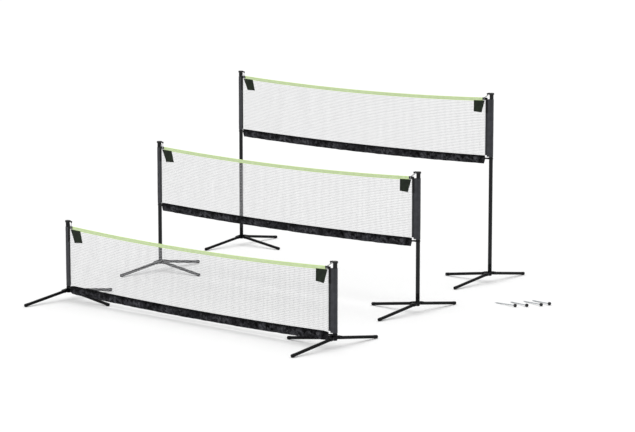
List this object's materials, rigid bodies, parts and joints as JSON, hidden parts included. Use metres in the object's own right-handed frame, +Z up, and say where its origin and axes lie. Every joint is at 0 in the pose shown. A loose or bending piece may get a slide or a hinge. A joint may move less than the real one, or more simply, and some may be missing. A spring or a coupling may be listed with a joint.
{
  "type": "portable net set",
  "caption": "Portable multi-sport lawn net at low, middle and full height, on sectional poles with folding T-shaped feet, with top tape, bottom band, corner flags and loose ground pegs.",
  "frame": {"origin": "on the floor, at the centre of the whole set's footprint", "axes": "+Z up, +X along the nets from the left poles to the right ones, +Y from the lowest net in front to the tallest at the back"},
  "size_m": [3.8016, 3.7184, 1.5501],
  "materials": {
    "black_tube": "satin black powder coat",
    "black_plastic": "moulded, slightly glossy",
    "black_zinc": "black zinc plate",
    "sleeve_fabric": "dark grey woven nylon",
    "net_twine": "white knotted twine",
    "green_tape": "lime green woven tape, folded and stitched",
    "band_nylon": "crinkled black nylon",
    "flag_fabric": "black-green woven fabric, bare",
    "black_webbing": "black webbing",
    "black_cord": "thin elastic cord",
    "eyelet_metal": "dull nickel",
    "peg_steel": "galvanised"
  },
  "bodies": {
    "feet": {"foot_hubs": "black_tube", "foot_plugs": "black_plastic", "pivot_bolts": "black_zinc", "pivot_nuts": "black_zinc"},
    "low_left_front_leg": {"low_left_front_leg": "black_tube"},
    "low_left_back_leg": {"low_left_back_leg": "black_tube"},
    "low_left_inner_leg": {"low_left_inner_leg": "black_tube"},
    "low_right_front_leg": {"low_right_front_leg": "black_tube"},
    "low_right_back_leg": {"low_right_back_leg": "black_tube"},
    "low_right_inner_leg": {"low_right_inner_leg": "black_tube"},
    "mid_left_front_leg": {"mid_left_front_leg": "black_tube"},
    "mid_left_back_leg": {"mid_left_back_leg": "black_tube"},
    "mid_left_inner_leg": {"mid_left_inner_leg": "black_tube"},
    "mid_right_front_leg": {"mid_right_front_leg": "black_tube"},
    "mid_right_back_leg": {"mid_right_back_leg": "black_tube"},
    "mid_right_inner_leg": {"mid_right_inner_leg": "black_tube"},
    "high_left_front_leg": {"high_left_front_leg": "black_tube"},
    "high_left_back_leg": {"high_left_back_leg": "black_tube"},
    "high_left_inner_leg": {"high_left_inner_leg": "black_tube"},
    "high_right_front_leg": {"high_right_front_leg": "black_tube"},
    "high_right_back_leg": {"high_right_back_leg": "black_tube"},
    "high_right_inner_leg": {"high_right_inner_leg": "black_tube"},
    "low_top": {"low_poles": "black_tube", "low_pole_caps": "black_plastic", "low_sleeves": "sleeve_fabric", "low_net": "net_twine", "low_top_tape": "green_tape", "low_bottom_band": "band_nylon", "low_corner_flags": "flag_fabric", "low_corner_straps": "black_webbing", "low_tape_eyelets": "eyelet_metal", "low_top_cords": "black_cord", "low_bottom_ties": "black_webbing"},
    "mid_top": {"mid_poles": "black_tube", "mid_pole_caps": "black_plastic", "mid_sleeves": "sleeve_fabric", "mid_net": "net_twine", "mid_top_tape": "green_tape", "mid_bottom_band": "band_nylon", "mid_corner_flags": "flag_fabric", "mid_corner_straps": "black_webbing", "mid_tape_eyelets": "eyelet_metal", "mid_top_cords": "black_cord", "mid_bottom_ties": "black_webbing"},
    "high_top": {"high_poles": "black_tube", "high_pole_caps": "black_plastic", "high_sleeves": "sleeve_fabric", "high_net": "net_twine", "high_top_tape": "green_tape", "high_bottom_band": "band_nylon", "high_corner_flags": "flag_fabric", "high_corner_straps": "black_webbing", "high_tape_eyelets": "eyelet_metal", "high_top_cords": "black_cord", "high_bottom_ties": "black_webbing"},
    "mid_extension": {"mid_extension_tubes": "black_tube"},
    "high_lower_extension": {"high_lower_extension_tubes": "black_tube"},
    "high_upper_extension": {"high_upper_extension_tubes": "black_tube"},
    "pegs": {"peg_rods": "peg_steel", "peg_heads": "black_plastic"}
  },
  "joints": [
    {"name": "low_left_front_leg_fold", "type": "hinge", "parent": "feet", "child": "low_left_front_leg", "pos_m": [-1.08, -1.436, 0.069], "axis": [1, 0, 0], "range_deg": [0, 82]},
    {"name": "low_left_back_leg_fold", "type": "hinge", "parent": "feet", "child": "low_left_back_leg", "pos_m": [-1.08, -1.364, 0.069], "axis": [-1, 0, 0], "range_deg": [0, 82]},
    {"name": "low_left_inner_leg_fold", "type": "hinge", "parent": "feet", "child": "low_left_inner_leg", "pos_m": [-1.044, -1.4, 0.069], "axis": [0, 1, 0], "range_deg": [0, 82]},
    {"name": "low_right_front_leg_fold", "type": "hinge", "parent": "feet", "child": "low_right_front_leg", "pos_m": [1.72, -1.436, 0.069], "axis": [1, 0, 0], "range_deg": [0, 82]},
    {"name": "low_right_back_leg_fold", "type": "hinge", "parent": "feet", "child": "low_right_back_leg", "pos_m": [1.72, -1.364, 0.069], "axis": [-1, 0, 0], "range_deg": [0, 82]},
    {"name": "low_right_inner_leg_fold", "type": "hinge", "parent": "feet", "child": "low_right_inner_leg", "pos_m": [1.684, -1.4, 0.069], "axis": [0, -1, 0], "range_deg": [0, 82]},
    {"name": "mid_left_front_leg_fold", "type": "hinge", "parent": "feet", "child": "mid_left_front_leg", "pos_m": [-1.48, -0.036, 0.069], "axis": [1, 0, 0], "range_deg": [0, 82]},
    {"name": "mid_left_back_leg_fold", "type": "hinge", "parent": "feet", "child": "mid_left_back_leg", "pos_m": [-1.48, 0.036, 0.069], "axis": [-1, 0, 0], "range_deg": [0, 82]},
    {"name": "mid_left_inner_leg_fold", "type": "hinge", "parent": "feet", "child": "mid_left_inner_leg", "pos_m": [-1.444, 0, 0.069], "axis": [0, 1, 0], "range_deg": [0, 82]},
    {"name": "mid_right_front_leg_fold", "type": "hinge", "parent": "feet", "child": "mid_right_front_leg", "pos_m": [1.32, -0.036, 0.069], "axis": [1, 0, 0], "range_deg": [0, 82]},
    {"name": "mid_right_back_leg_fold", "type": "hinge", "parent": "feet", "child": "mid_right_back_leg", "pos_m": [1.32, 0.036, 0.069], "axis": [-1, 0, 0], "range_deg": [0, 82]},
    {"name": "mid_right_inner_leg_fold", "type": "hinge", "parent": "feet", "child": "mid_right_inner_leg", "pos_m": [1.284, 0, 0.069], "axis": [0, -1, 0], "range_deg": [0, 82]},
    {"name": "high_left_front_leg_fold", "type": "hinge", "parent": "feet", "child": "high_left_front_leg", "pos_m": [-1.88, 1.364, 0.069], "axis": [1, 0, 0], "range_deg": [0, 82]},
    {"name": "high_left_back_leg_fold", "type": "hinge", "parent": "feet", "child": "high_left_back_leg", "pos_m": [-1.88, 1.436, 0.069], "axis": [-1, 0, 0], "range_deg": [0, 82]},
    {"name": "high_left_inner_leg_fold", "type": "hinge", "parent": "feet", "child": "high_left_inner_leg", "pos_m": [-1.844, 1.4, 0.069], "axis": [0, 1, 0], "range_deg": [0, 82]},
    {"name": "high_right_front_leg_fold", "type": "hinge", "parent": "feet", "child": "high_right_front_leg", "pos_m": [0.92, 1.364, 0.069], "axis": [1, 0, 0], "range_deg": [0, 82]},
    {"name": "high_right_back_leg_fold", "type": "hinge", "parent": "feet", "child": "high_right_back_leg", "pos_m": [0.92, 1.436, 0.069], "axis": [-1, 0, 0], "range_deg": [0, 82]},
    {"name": "high_right_inner_leg_fold", "type": "hinge", "parent": "feet", "child": "high_right_inner_leg", "pos_m": [0.884, 1.4, 0.069], "axis": [0, -1, 0], "range_deg": [0, 82]},
    {"name": "low_top_lift", "type": "slide", "parent": "feet", "child": "low_top", "axis": [0, 0, 1], "range_m": [0, 0.09]},
    {"name": "mid_extension_lift", "type": "slide", "parent": "feet", "child": "mid_extension", "axis": [0, 0, 1], "range_m": [0, 0.09]},
    {"name": "mid_top_lift", "type": "slide", "parent": "mid_extension", "child": "mid_top", "axis": [0, 0, 1], "range_m": [0, 0.09]},
    {"name": "high_lower_extension_lift", "type": "slide", "parent": "feet", "child": "high_lower_extension", "axis": [0, 0, 1], "range_m": [0, 0.09]},
    {"name": "high_upper_extension_lift", "type": "slide", "parent": "high_lower_extension", "child": "high_upper_extension", "axis": [0, 0, 1], "range_m": [0, 0.09]},
    {"name": "high_top_lift", "type": "slide", "parent": "high_upper_extension", "child": "high_top", "axis": [0, 0, 1], "range_m": [0, 0.09]},
    {"name": "pegs_lift", "type": "slide", "parent": "feet", "child": "pegs", "axis": [0, 0, 1], "range_m": [0, 0.1]}
  ]
}
